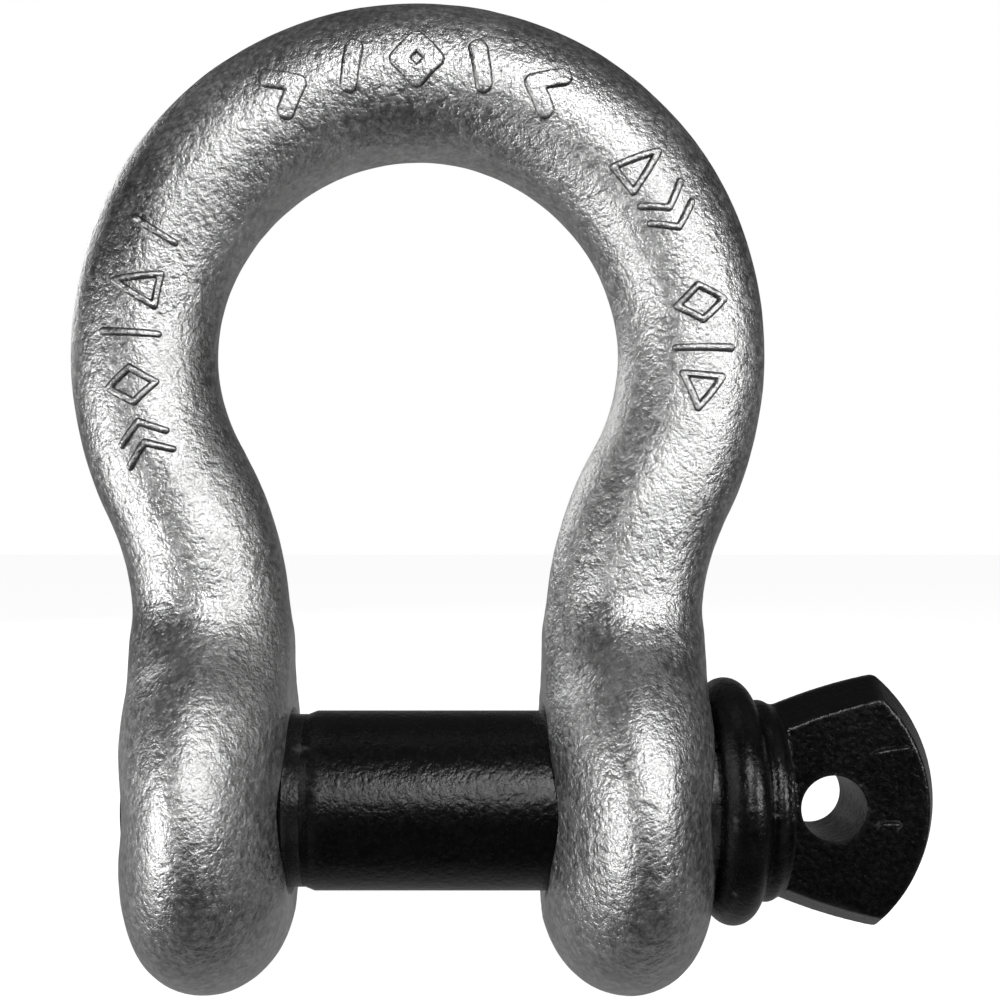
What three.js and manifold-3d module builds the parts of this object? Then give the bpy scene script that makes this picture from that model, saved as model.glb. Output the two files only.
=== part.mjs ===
// Screw-pin bow shackle for 19 mm bar, with its screw pin home.
// Millimetres. The origin is on the pin's axis, midway between the two ears:
// +X runs along the pin to its head, +Y goes through the bow, +Z points to the crown.

import * as THREE from 'three';
import { LoftGeometry } from 'three/addons/geometries/LoftGeometry.js';
import { mergeVertices } from 'three/addons/utils/BufferGeometryUtils.js';
import Module from 'manifold-3d';

// The bow
const JAW = 31.8; // clear width between the ears
const BAR = 18.3; // bar diameter where the bow is widest
const BAR_CROWN = 19.2; // at the crown
const BAR_FOOT = 19.8; // above the ears
const BOW_RADIUS = 34.6; // centreline radius of the round bow
const BOW_RISE = 56.2; // centre of the round bow above the pin's axis
const ARM_OUT = 26; // centreline of each arm from the middle, just above its ear
const ARM_RISE = 21.5; // height at which each arm starts to bend outwards
const EAR = 47.2; // outer diameter of an ear
const EAR_THICK = 20;
const EAR_SWELL = 1; // how far each forged face swells past the flat that is cut on it
const EAR_CROWN = 1.6; // power of the curve across an ear's face, from front to back
const EAR_END = 4; // and up and down it, where the face is flatter
const FORGED_BLEND = 3; // reach of the soft corner between ear and arm
const FACED_TOP = 28; // height to which the ears' faces are cut flat

// The screw pin
const PIN = 22.4; // shank diameter
const PIN_CLEARANCE = 0.8; // on the diameter, in the plain ear
const GAP = 0.3; // left between faces that touch
const RELIEF = 21.5; // short neck between shank and thread
const RELIEF_LENGTH = 1.8;
const COLLAR = 30.9;
const COLLAR_THICK = 5.8;
const COLLAR_ROUND = 3.2; // how far in from its rim the collar starts to round over
const SECOND_RING = 25.2; // low ring between collar and neck
const SECOND_RING_THICK = 2.6;
const NECK = 24;
const NECK_LENGTH = 0.4; // straight length before it falls away
const NECK_FALL = 2.3; // length over which it falls away into the eye plate
const NECK_BITE = 0.5; // how far its end reaches below the plate's faces

// The thread: 7/8 inch coarse, nine turns to the inch
const PITCH = 25.4 / 9;
const THREAD_CREST = 22.1; // over the pin's thread
const THREAD_ROOT = 18.6;
const CREST_FLAT = 0.35;
const TAPPED_CREST = 20; // bore of the tapped ear
const TAPPED_ROOT = 22.8; // bottom of its grooves
const FLANK_SLOPE = Math.tan(THREE.MathUtils.degToRad(30));
const FLANK_CLEARANCE = GAP / Math.cos(THREE.MathUtils.degToRad(30));

// The eye plate that turns the pin
const EYE_THICK = 12;
const EYE_ROOT = 45; // start of the plate along the pin
const EYE_CORNER_OUT = 57.7; // its two sharp corners, along the pin and from its axis
const EYE_CORNER_HALF = 15.9;
const EYE_SIDE_CROWN = 0.35; // how far each side bulges from straight
const EYE_ARC = 20.7; // radius of the outer edge
const EYE_ARC_OUT = 44.5; // its centre along the pin
const EYE_DRAFT = 2.6; // the whole edge leans in by this much at the two faces
const EYE_LAND = 1.2; // width of the parting land round the edge
const EYE_HOLE = 8.1;
const EYE_HOLE_OUT = 51.2;

// How finely the curves are cut
const BAR_SIDES = 36;
const EAR_STEPS = 16;
const BOW_STEPS = 36;
const ROUND = 40; // sides of the pin, its head and the holes
const TURN_STEPS = 18; // along one turn of the thread

const EAR_IN = JAW / 2;
const EAR_OUT = EAR_IN + EAR_THICK;
const EAR_MID = EAR_IN + EAR_THICK / 2;
const PIN_HOLE = PIN + PIN_CLEARANCE;
const COLLAR_FACE = EAR_OUT + GAP;
const RELIEF_START = -(EAR_IN - RELIEF_LENGTH); // where the shank ends
const Y_AXIS = new THREE.Vector3(0, 1, 0);

const wasm = await Module();
wasm.setup();

// ---------------------------------------------------------------- solids

function solidOf(geometry) {
  const bare = new THREE.BufferGeometry();
  bare.setAttribute('position', geometry.attributes.position);
  bare.setIndex(geometry.index);
  const merged = mergeVertices(bare);
  return new wasm.Manifold(
    new wasm.Mesh({
      numProp: 3,
      vertProperties: Float32Array.from(merged.attributes.position.array),
      triVerts: Uint32Array.from(merged.index.array),
    }),
  );
}

function geometryOf(solid) {
  const { vertProperties, triVerts } = solid.getMesh();
  const geometry = new THREE.BufferGeometry();
  geometry.setAttribute('position', new THREE.BufferAttribute(vertProperties, 3));
  geometry.setIndex(new THREE.BufferAttribute(triVerts, 1));
  geometry.computeVertexNormals();
  return geometry;
}

// A body turned about the X axis. Its outline is [x, radius] pairs, from axis to axis.
function turned(outline, sides = ROUND) {
  const points = outline.map(([x, radius]) => new THREE.Vector2(radius, x));
  return new THREE.LatheGeometry(points, sides).rotateZ(-Math.PI / 2);
}

// Outline points of an arc about [x, radius], wide along the axis and high across it.
function arcOutline({ x, radius, wide, high, from, to, steps = 6 }) {
  return Array.from({ length: steps + 1 }, (_, i) => {
    const angle = THREE.MathUtils.degToRad(THREE.MathUtils.lerp(from, to, i / steps));
    return [x + wide * Math.cos(angle), radius + high * Math.sin(angle)];
  });
}

// ---------------------------------------------------------------- the bow

// The bend that leads each arm into the round bow touches both smoothly.
const BEND_RADIUS =
  (ARM_OUT ** 2 + (BOW_RISE - ARM_RISE) ** 2 - BOW_RADIUS ** 2) / (2 * (BOW_RADIUS - ARM_OUT));
const BEND_CENTRE = ARM_OUT + BEND_RADIUS;
const BEND_ANGLE = Math.atan2(BOW_RISE - ARM_RISE, BEND_CENTRE);

// Centreline from the left arm over the crown to the right arm, in X and Z.
function bowCentreline() {
  const path = new THREE.Path();
  path.absarc(-BEND_CENTRE, ARM_RISE, BEND_RADIUS, 0, BEND_ANGLE);
  path.absarc(0, BOW_RISE, BOW_RADIUS, Math.PI + BEND_ANGLE, -BEND_ANGLE, true);
  path.absarc(BEND_CENTRE, ARM_RISE, BEND_RADIUS, Math.PI - BEND_ANGLE, Math.PI);
  return path;
}

// The bar is drawn a little thinner where the bow is widest.
function barRadius(along) {
  const fromCrown = Math.abs(2 * along - 1);
  const widest = 0.6; // share of the way from the crown to an arm's foot
  const spread = 0.25;
  const thinning = Math.exp(-(((fromCrown - widest) / spread) ** 2));
  const heavy = THREE.MathUtils.lerp(BAR_CROWN, BAR_FOOT, fromCrown);
  return THREE.MathUtils.lerp(heavy, BAR, thinning) / 2;
}

// Below zero inside an ear: a round disc that swells in the middle, more so from front to
// back than up and down.
function earDepth(point) {
  const half = EAR_THICK / 2 + EAR_SWELL;
  const fromPin = Math.hypot(point.y, point.z);
  const upright = (point.z / Math.max(fromPin, GAP)) ** 2;
  const outward = (fromPin / (EAR / 2)) ** THREE.MathUtils.lerp(EAR_CROWN, EAR_END, upright);
  const across = (Math.abs(point.x) - EAR_MID) / half;
  return half * (Math.sqrt(outward + across ** 2) - 1);
}

// The lower of two depths, with the corner between them filled.
function blended(a, b) {
  const share = Math.max(FORGED_BLEND - Math.abs(a - b), 0) / FORGED_BLEND;
  return Math.min(a, b) - (share ** 2 * FORGED_BLEND) / 4;
}

// One ring of points round the forging: rays go out from a centre to its skin. Low down,
// the ears are cut flat on both faces.
function section({ centre, outward, barCentre, radius, reach }) {
  const ring = [];
  for (let i = 0; i < BAR_SIDES; i++) {
    const angle = (i / BAR_SIDES) * 2 * Math.PI;
    const ray = outward
      .clone()
      .multiplyScalar(reach.x * Math.cos(angle))
      .addScaledVector(Y_AXIS, -reach.y * Math.sin(angle))
      .normalize();
    const point = skinPoint(centre, ray, barCentre, radius);
    if (centre.z < FACED_TOP) {
      point.x = Math.sign(centre.x) * THREE.MathUtils.clamp(Math.abs(point.x), EAR_IN, EAR_OUT);
    }
    ring.push(point);
  }
  return ring;
}

function skinPoint(centre, ray, barCentre, radius) {
  const point = new THREE.Vector3();
  let inside = 0;
  let outside = EAR;
  const halvings = 36;
  for (let i = 0; i < halvings; i++) {
    const middle = (inside + outside) / 2;
    point.copy(centre).addScaledVector(ray, middle);
    const depth = blended(point.distanceTo(barCentre) - radius, earDepth(point));
    if (depth < 0) inside = middle;
    else outside = middle;
  }
  return point;
}

// Level sections of the left ear, from its lowest point up to the arm.
function earSections() {
  const radius = barRadius(0);
  const barCentre = new THREE.Vector3(-ARM_OUT, 0, ARM_RISE);
  const lowest = THREE.MathUtils.degToRad(4);
  const highest = Math.acos(-ARM_RISE / (EAR / 2));
  return Array.from({ length: EAR_STEPS }, (_, i) => {
    const angle = THREE.MathUtils.lerp(lowest, highest, i / EAR_STEPS);
    const z = (-EAR / 2) * Math.cos(angle);
    const chord = (EAR / 2) * Math.sin(angle);
    const half = (EAR_THICK / 2) * (z < 0 ? Math.sin(angle) : 1);
    const out = THREE.MathUtils.lerp(EAR_MID, ARM_OUT, THREE.MathUtils.smoothstep(z, 0, ARM_RISE));
    return section({
      centre: new THREE.Vector3(-out, 0, z),
      outward: new THREE.Vector3(-1, 0, 0),
      barCentre,
      radius,
      reach: new THREE.Vector2(half, z < 0 ? chord : Math.max(chord, radius)),
    });
  });
}

function bowSections() {
  const path = bowCentreline();
  return Array.from({ length: BOW_STEPS + 1 }, (_, i) => {
    const along = i / BOW_STEPS;
    const at = path.getPointAt(along);
    const heading = path.getTangentAt(along);
    const centre = new THREE.Vector3(at.x, 0, at.y);
    return section({
      centre,
      outward: new THREE.Vector3(-heading.y, 0, heading.x),
      barCentre: centre,
      radius: barRadius(along),
      reach: new THREE.Vector2(1, 1),
    });
  });
}

// The right ear is the left one seen in a mirror, taken from the arm down.
function mirrored(sections) {
  return sections
    .map((ring) => ring.map((point) => new THREE.Vector3(-point.x, point.y, point.z)))
    .reverse();
}

function forging() {
  const ear = earSections();
  const rings = [...ear, ...bowSections(), ...mirrored(ear)];
  return solidOf(new LoftGeometry(rings, { capStart: true, capEnd: true }));
}

// The plain hole, with a small chamfer at each face of the right ear.
function plainHole() {
  const chamfer = 0.6;
  const past = 2;
  const radius = PIN_HOLE / 2;
  return solidOf(
    turned([
      [EAR_IN - past, 0],
      [EAR_IN - past, radius + chamfer + past],
      [EAR_IN + chamfer, radius],
      [EAR_OUT - chamfer, radius],
      [EAR_OUT + past, radius + chamfer + past],
      [EAR_OUT + past, 0],
    ]),
  );
}

// The tapped hole of the left ear: its bore, the countersunk mouth and the groove.
function tappedHole() {
  const sink = 1.7;
  const past = 2;
  const radius = TAPPED_CREST / 2;
  const bore = turned([
    [-EAR_OUT - past, 0],
    [-EAR_OUT - past, radius + sink + past],
    [-EAR_OUT + sink, radius],
    [-EAR_IN - sink, radius],
    [-EAR_IN + past, radius + sink + past],
    [-EAR_IN + past, 0],
  ], TURN_STEPS);
  const depth = (THREAD_CREST - TAPPED_CREST) / 2;
  const sunk = 0.2; // the groove's foot starts this far inside the bore
  const groove = helix({
    foot: radius - sunk,
    top: TAPPED_ROOT / 2,
    footHalf: CREST_FLAT / 2 + (depth + sunk) * FLANK_SLOPE + FLANK_CLEARANCE,
    topHalf: CREST_FLAT / 2 - ((TAPPED_ROOT - THREAD_CREST) / 2) * FLANK_SLOPE + FLANK_CLEARANCE,
    from: -EAR_OUT - past,
    to: -EAR_IN + past,
    fade: 0,
  });
  return solidOf(bore).add(groove);
}

function bow() {
  return geometryOf(forging().subtract(plainHole()).subtract(tappedHole()));
}

// ---------------------------------------------------------------- the thread

// A right-hand ridge about the X axis. Its crest passes through +Y at x = 0, so ridges
// made with different sizes all stay in step. Over the fade it rises out of its foot.
function helix({ foot, top, footHalf, topHalf, from, to, fade }) {
  const first = Math.round((from / PITCH) * TURN_STEPS);
  const last = Math.round((to / PITCH) * TURN_STEPS);
  const sections = Array.from({ length: last - first + 1 }, (_, i) => {
    const x = ((first + i) / TURN_STEPS) * PITCH;
    const angle = (x / PITCH) * 2 * Math.PI;
    const grown = fade ? Math.min(1, (x - from) / fade, (to - x) / fade) : 1;
    const crest = THREE.MathUtils.lerp(foot + GAP / 3, top, Math.max(grown, 0));
    const corner = (dx, radius) =>
      new THREE.Vector3(x + dx, radius * Math.cos(angle), radius * Math.sin(angle));
    return [
      corner(-footHalf, foot),
      corner(footHalf, foot),
      corner(topHalf, crest),
      corner(-topHalf, crest),
    ];
  });
  return solidOf(new LoftGeometry(sections, { capStart: true, capEnd: true }));
}

// ---------------------------------------------------------------- the screw pin

function pinShank() {
  return turned([
    [RELIEF_START, 0],
    [RELIEF_START, PIN / 2],
    [EAR_OUT, PIN / 2],
    [EAR_OUT, 0],
  ]);
}

function pinThread() {
  const start = RELIEF_START - GAP;
  const reliefEnd = start - RELIEF_LENGTH;
  const root = THREAD_ROOT / 2;
  const tip = -EAR_OUT;
  const chamfer = 1;
  const core = turned([
    [tip, 0],
    [tip, root - chamfer],
    [tip + chamfer, root],
    [reliefEnd - (RELIEF / 2 - root), root],
    [reliefEnd, RELIEF / 2],
    [start, RELIEF / 2],
    [start, 0],
  ], TURN_STEPS);
  const depth = (THREAD_CREST - THREAD_ROOT) / 2;
  const sunk = 0.15;
  const ridge = helix({
    foot: root - sunk,
    top: THREAD_CREST / 2,
    footHalf: CREST_FLAT / 2 + depth * FLANK_SLOPE,
    topHalf: CREST_FLAT / 2,
    from: tip + chamfer + PITCH / 2,
    to: reliefEnd - PITCH / 2,
    fade: PITCH / 2,
  });
  return geometryOf(solidOf(core).add(ridge));
}

// Collar, low second ring and the neck that falls away into the eye plate.
function headTurning() {
  const half = COLLAR_THICK / 2;
  const low = SECOND_RING_THICK / 2;
  const collarEnd = COLLAR_FACE + COLLAR_THICK;
  const neckEnd = collarEnd + SECOND_RING_THICK + NECK_LENGTH;
  const fall = (NECK - EYE_THICK) / 2 + NECK_BITE;
  const collar = {
    x: COLLAR_FACE + half,
    radius: COLLAR / 2 - COLLAR_ROUND,
    wide: half,
    high: COLLAR_ROUND,
  };
  const ring = { x: collarEnd + low, radius: SECOND_RING / 2 - low, wide: low, high: low };
  const hollow = { x: neckEnd + NECK_FALL, radius: NECK / 2, wide: NECK_FALL, high: fall };
  return turned([
    [COLLAR_FACE, 0],
    ...arcOutline({ ...collar, from: 180, to: 10, steps: 8 }),
    ...arcOutline({ ...ring, from: 145, to: 35, steps: 5 }),
    ...arcOutline({ ...hollow, from: 180, to: 270, steps: 5 }),
    [neckEnd + NECK_FALL, 0],
  ]);
}

// Half height of the eye plate along the pin, on its parting line.
function plateHalf(x) {
  const share = (x - EYE_ROOT) / (EYE_CORNER_OUT - EYE_ROOT);
  const straight = THREE.MathUtils.lerp(NECK / 2, EYE_CORNER_HALF, share);
  return straight + EYE_SIDE_CROWN * 4 * share * (1 - share);
}

// Where a side of the plate meets its outer arc, with both moved in by the inset.
function plateCorner(inset) {
  let near = EYE_ROOT;
  let far = EYE_ARC_OUT + EYE_ARC;
  const halvings = 36;
  for (let i = 0; i < halvings; i++) {
    const x = (near + far) / 2;
    const fromCentre = Math.hypot(x - EYE_ARC_OUT, plateHalf(x) - inset);
    if (fromCentre < EYE_ARC - inset) near = x;
    else far = x;
  }
  return near;
}

// The outline of the plate at one level of Y.
function plateOutline(y, inset) {
  const corner = plateCorner(inset);
  const steps = 6;
  const top = Array.from({ length: steps }, (_, i) => {
    const x = THREE.MathUtils.lerp(EYE_ROOT, corner, i / steps);
    return new THREE.Vector3(x, y, plateHalf(x) - inset);
  });
  const bottom = top.map((point) => new THREE.Vector3(point.x, y, -point.z)).reverse();
  const turn = Math.atan2(plateHalf(corner) - inset, corner - EYE_ARC_OUT);
  const arcSteps = 14;
  const arc = Array.from({ length: arcSteps + 1 }, (_, i) => {
    const angle = THREE.MathUtils.lerp(turn, -turn, i / arcSteps);
    const reach = EYE_ARC - inset;
    return new THREE.Vector3(EYE_ARC_OUT + reach * Math.cos(angle), y, reach * Math.sin(angle));
  });
  return [...top, ...arc, ...bottom];
}

function eyePlate() {
  const face = EYE_THICK / 2;
  const land = EYE_LAND / 2;
  const outlines = [
    plateOutline(-face, EYE_DRAFT),
    plateOutline(-land, 0),
    plateOutline(land, 0),
    plateOutline(face, EYE_DRAFT),
  ];
  return solidOf(new LoftGeometry(outlines, { capStart: true, capEnd: true }));
}

function pinHead() {
  const hole = new THREE.CylinderGeometry(EYE_HOLE / 2, EYE_HOLE / 2, 2 * NECK, ROUND / 2);
  return geometryOf(
    solidOf(headTurning())
      .add(eyePlate())
      .subtract(solidOf(hole.translate(EYE_HOLE_OUT, 0, 0))),
  );
}

// ---------------------------------------------------------------- the assembly

const galvanised = { color: 0xa6a8a9, roughness: 0.5, metalness: 0.9 };
const blackCoat = { color: 0x121214, roughness: 0.38, metalness: 0.1 };

function part(name, geometry, finish) {
  const mesh = new THREE.Mesh(geometry, new THREE.MeshStandardMaterial(finish));
  mesh.name = name;
  return mesh;
}

const screwPin = new THREE.Group();
screwPin.add(
  part('pin_shank', pinShank(), blackCoat),
  part('pin_thread', pinThread(), blackCoat),
  part('pin_head', pinHead(), blackCoat),
);

const shackle = new THREE.Group();
shackle.name = 'bow_shackle';
shackle.add(part('bow', bow(), galvanised), screwPin);

export default shackle;
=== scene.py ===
# %% [markdown]
# # A screw-pin bow shackle
# A bow shackle is two forgings: a round bar bent into a bow with two flattened ears, and a
# pin that screws through the ears. The CAD model already holds their sizes and how the pin
# moves. This script loads that model as a fixed frame and builds the two visible forgings
# around it, with their raised marks, real thread, zinc skin and black coating.
#
# Lengths in the recipes below are millimetres, and each finished mesh is scaled to metres.

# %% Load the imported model
import math
from functools import partialmethod

import bmesh
import bpy
from mathutils import Matrix, Vector


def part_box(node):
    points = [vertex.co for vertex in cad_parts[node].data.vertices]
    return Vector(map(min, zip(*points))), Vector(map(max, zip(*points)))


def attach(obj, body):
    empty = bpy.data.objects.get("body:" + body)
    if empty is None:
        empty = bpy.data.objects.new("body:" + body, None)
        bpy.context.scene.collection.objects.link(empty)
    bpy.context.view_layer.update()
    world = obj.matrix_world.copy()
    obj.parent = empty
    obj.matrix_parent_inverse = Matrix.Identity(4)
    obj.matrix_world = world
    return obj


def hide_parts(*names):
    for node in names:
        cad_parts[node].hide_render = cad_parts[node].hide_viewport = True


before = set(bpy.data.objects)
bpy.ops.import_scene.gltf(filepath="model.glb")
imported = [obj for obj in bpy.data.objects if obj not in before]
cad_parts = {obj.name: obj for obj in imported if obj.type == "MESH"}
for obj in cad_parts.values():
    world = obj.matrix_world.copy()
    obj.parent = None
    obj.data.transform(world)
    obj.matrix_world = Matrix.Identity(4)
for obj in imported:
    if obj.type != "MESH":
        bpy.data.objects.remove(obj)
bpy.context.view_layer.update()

MM = 0.001


def millimetres(node):
    """The lowest and highest corner of a CAD node, in millimetres."""
    low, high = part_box(node)
    return low / MM, high / MM


# %% [markdown]
# ## The camera
# The shackle is seen square on from the front, from close by, so its near side looks a
# little larger than its far side. The camera looks level along +Y from a little below the
# middle of its height, and a small lens shift centres the picture without turning it.

# %% Camera
CAMERA_PLACE = Vector((2.8, -171.45, 34.2))
LENS = 48.6
LENS_SHIFT = (0.06, 0.03)

camera_data = bpy.data.cameras.new("camera")
camera_data.lens = LENS
camera_data.sensor_width = 36.0
camera_data.shift_x, camera_data.shift_y = LENS_SHIFT
camera_data.clip_start = 0.01
camera = bpy.data.objects.new("camera", camera_data)
camera.location = CAMERA_PLACE * MM
camera.rotation_euler = (math.radians(90), 0, 0)
bpy.context.scene.collection.objects.link(camera)
bpy.context.scene.camera = camera
print("camera stands", round(-CAMERA_PLACE.y), "mm in front of the shackle")

# %% [markdown]
# ## The studio
# Bare metal shows what stands around it, so the room matters more than the lamps. The floor
# is pale and plain. It is left out of reflections and lets lamplight through, so that a side
# lamp may stand low, and a glow that only the camera sees keeps it evenly light into the
# distance. The sky is white to the camera, but what the metal mirrors is a dark grey, a
# little lighter above, and lighter still low down at the back, where a pale floor would be.

# %% The floor
FLOOR_DROP = 0.25
FLOOR_SIZE = 6000
FLOOR_GREY = 0.9
FLOOR_GLOW = 0.9


def studio_floor():
    """A square of floor just below the ears."""
    below = millimetres("bow")[0].z - FLOOR_DROP
    half = FLOOR_SIZE / 2
    corners = [(-half, -half, below), (half, -half, below), (half, half, below), (-half, half, below)]
    mesh = bpy.data.meshes.new("floor")
    mesh.from_pydata([Vector(corner) * MM for corner in corners], [], [(0, 1, 2, 3)])
    paint = bpy.data.materials.new("pale floor")
    paint.use_nodes = True
    nodes, links = paint.node_tree.nodes, paint.node_tree.links
    shader = nodes["Principled BSDF"]
    shader.inputs["Base Color"].default_value = (FLOOR_GREY, FLOOR_GREY, FLOOR_GREY, 1)
    shader.inputs["Roughness"].default_value = 1.0
    shader.inputs["Emission Color"].default_value = (1, 1, 1, 1)
    glow = nodes.new("ShaderNodeMath")
    glow.operation = "MULTIPLY"
    glow.inputs[1].default_value = FLOOR_GLOW
    links.new(nodes.new("ShaderNodeLightPath").outputs["Is Camera Ray"], glow.inputs[0])
    links.new(glow.outputs[0], shader.inputs["Emission Strength"])
    mesh.materials.append(paint)
    floor = bpy.data.objects.new("floor", mesh)
    floor.visible_glossy = floor.visible_shadow = False
    bpy.context.scene.collection.objects.link(floor)
    return floor


print("floor:", round(studio_floor().dimensions.x, 1), "m across")

# %% The sky
SKY_ABOVE, SKY_BELOW, SKY_BEHIND = 0.08, 0.02, 0.24
STRAIGHT_UP = (0.0, 0.0, 1.0)
BEHIND_AND_BELOW = (0.0, 0.8, -0.6)
RAMP_START, RAMP_END = 0.25, 0.9


def studio_sky():
    """White to the camera. Mirrored, it is grey: lighter above, and low down behind."""
    world = bpy.data.worlds.new("studio")
    bpy.context.scene.world = world
    world.use_nodes = True
    nodes, links = world.node_tree.nodes, world.node_tree.links
    sky = nodes["Background"]
    sky.inputs["Color"].default_value = (1, 1, 1, 1)
    towards = nodes.new("ShaderNodeTexCoord").outputs["Generated"]
    ramps = []
    for axis, low, high in ((STRAIGHT_UP, SKY_BELOW, SKY_ABOVE), (BEHIND_AND_BELOW, 0.0, SKY_BEHIND)):
        along = nodes.new("ShaderNodeVectorMath")
        along.operation = "DOT_PRODUCT"
        along.inputs[1].default_value = axis
        links.new(towards, along.inputs[0])
        ramp = nodes.new("ShaderNodeMapRange")
        ramp.interpolation_type = "SMOOTHSTEP"
        ramp.inputs["From Min"].default_value = RAMP_START
        ramp.inputs["From Max"].default_value = RAMP_END
        ramp.inputs["To Min"].default_value = low
        ramp.inputs["To Max"].default_value = high
        links.new(along.outputs["Value"], ramp.inputs["Value"])
        ramps.append(ramp)
    both = nodes.new("ShaderNodeMath")
    for ramp, socket in zip(ramps, both.inputs):
        links.new(ramp.outputs[0], socket)
    strength = nodes.new("ShaderNodeMix")
    strength.inputs[3].default_value = 1.0
    links.new(both.outputs[0], strength.inputs[2])
    links.new(nodes.new("ShaderNodeLightPath").outputs["Is Camera Ray"], strength.inputs[0])
    links.new(strength.outputs[0], sky.inputs["Strength"])


studio_sky()
print("sky: from", SKY_BELOW, "to", SKY_ABOVE, "in reflections")

# %% [markdown]
# A narrow key panel high in front draws the thin bright line along the pin, and a broader
# one below it lights the front of the bar. A panel on each side lights the flanks of the
# ears, and a weak one behind puts a thin light rim on the left of the bow.

# %% The lamps
AIM = Vector((0, 0, 35))


def soft_panel(name, place, size, watts):
    """A rectangular lamp, in millimetres, that faces the middle of the shackle."""
    light = bpy.data.lights.new(name, "AREA")
    light.shape = "RECTANGLE"
    light.size = size[0] * MM
    light.size_y = size[1] * MM
    light.energy = watts
    panel = bpy.data.objects.new(name, light)
    panel.location = Vector(place) * MM
    panel.rotation_euler = (AIM - Vector(place)).to_track_quat("-Z", "Y").to_euler()
    bpy.context.scene.collection.objects.link(panel)


soft_panel("key panel", place=(110, -470, 320), size=(170, 60), watts=0.85)
soft_panel("front panel", place=(20, -620, 200), size=(200, 120), watts=0.75)
soft_panel("left panel", place=(-440, -200, -80), size=(240, 160), watts=1.0)
soft_panel("right panel", place=(390, -310, 100), size=(120, 160), watts=0.8)
soft_panel("back panel", place=(-380, 470, 260), size=(240, 240), watts=0.6)
bpy.context.scene.view_settings.view_transform = "Standard"

# %% [markdown]
# ## Writing formulas as nodes
# The bow follows a rule, so Geometry Nodes can draw it. A long formula made node by node
# is hard to read. This small class wraps a node's output so that `a * b + c` in Python
# adds the Math nodes for it. The table under it says which node each sign or name adds.


# %% A number inside a node tree
class Term:
    """One number of a node tree. Arithmetic on it adds Math nodes to the tree."""

    def __init__(self, tree, value):
        self.tree = tree
        self.value = value

    def through(self, operation, *others):
        """Adds one Math node, fed with this number and the others, and returns its result."""
        node = self.tree.nodes.new("ShaderNodeMath")
        node.operation = operation
        for socket, operand in zip(node.inputs, (self, *others)):
            put(self.tree, operand, socket)
        return Term(self.tree, node.outputs[0])

    def __rsub__(self, other):
        return self * -1 + other

    def within(self, low, high):
        return self.at_least(low).at_most(high)

    def to(self, other, share):
        return self + (other - self) * share


MATH_NODES = {
    "__add__": "ADD", "__radd__": "ADD", "__sub__": "SUBTRACT", "__mul__": "MULTIPLY",
    "__rmul__": "MULTIPLY", "__truediv__": "DIVIDE", "__pow__": "POWER", "__lt__": "LESS_THAN",
    "__gt__": "GREATER_THAN", "sin": "SINE", "cos": "COSINE", "sqrt": "SQRT", "exp": "EXPONENT",
    "abs": "ABSOLUTE", "sign": "SIGN", "floor": "FLOOR", "at_least": "MAXIMUM", "at_most": "MINIMUM"}
for method, operation in MATH_NODES.items():
    setattr(Term, method, partialmethod(Term.through, operation))
print("a term knows", len(MATH_NODES), "kinds of Math node")


# %% Feeding sockets, and two short formulas
def put(tree, value, socket):
    """Feeds a term, a socket or a plain value into a socket."""
    value = value.value if isinstance(value, Term) else value
    if isinstance(value, bpy.types.NodeSocket):
        tree.links.new(value, socket)
    else:
        socket.default_value = value


def hypotenuse(a, b):
    return (a * a + b * b).sqrt()


def smooth_step(term, low, high):
    share = ((term - low) / (high - low)).within(0, 1)
    return share * share * (3 - share * 2)
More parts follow.
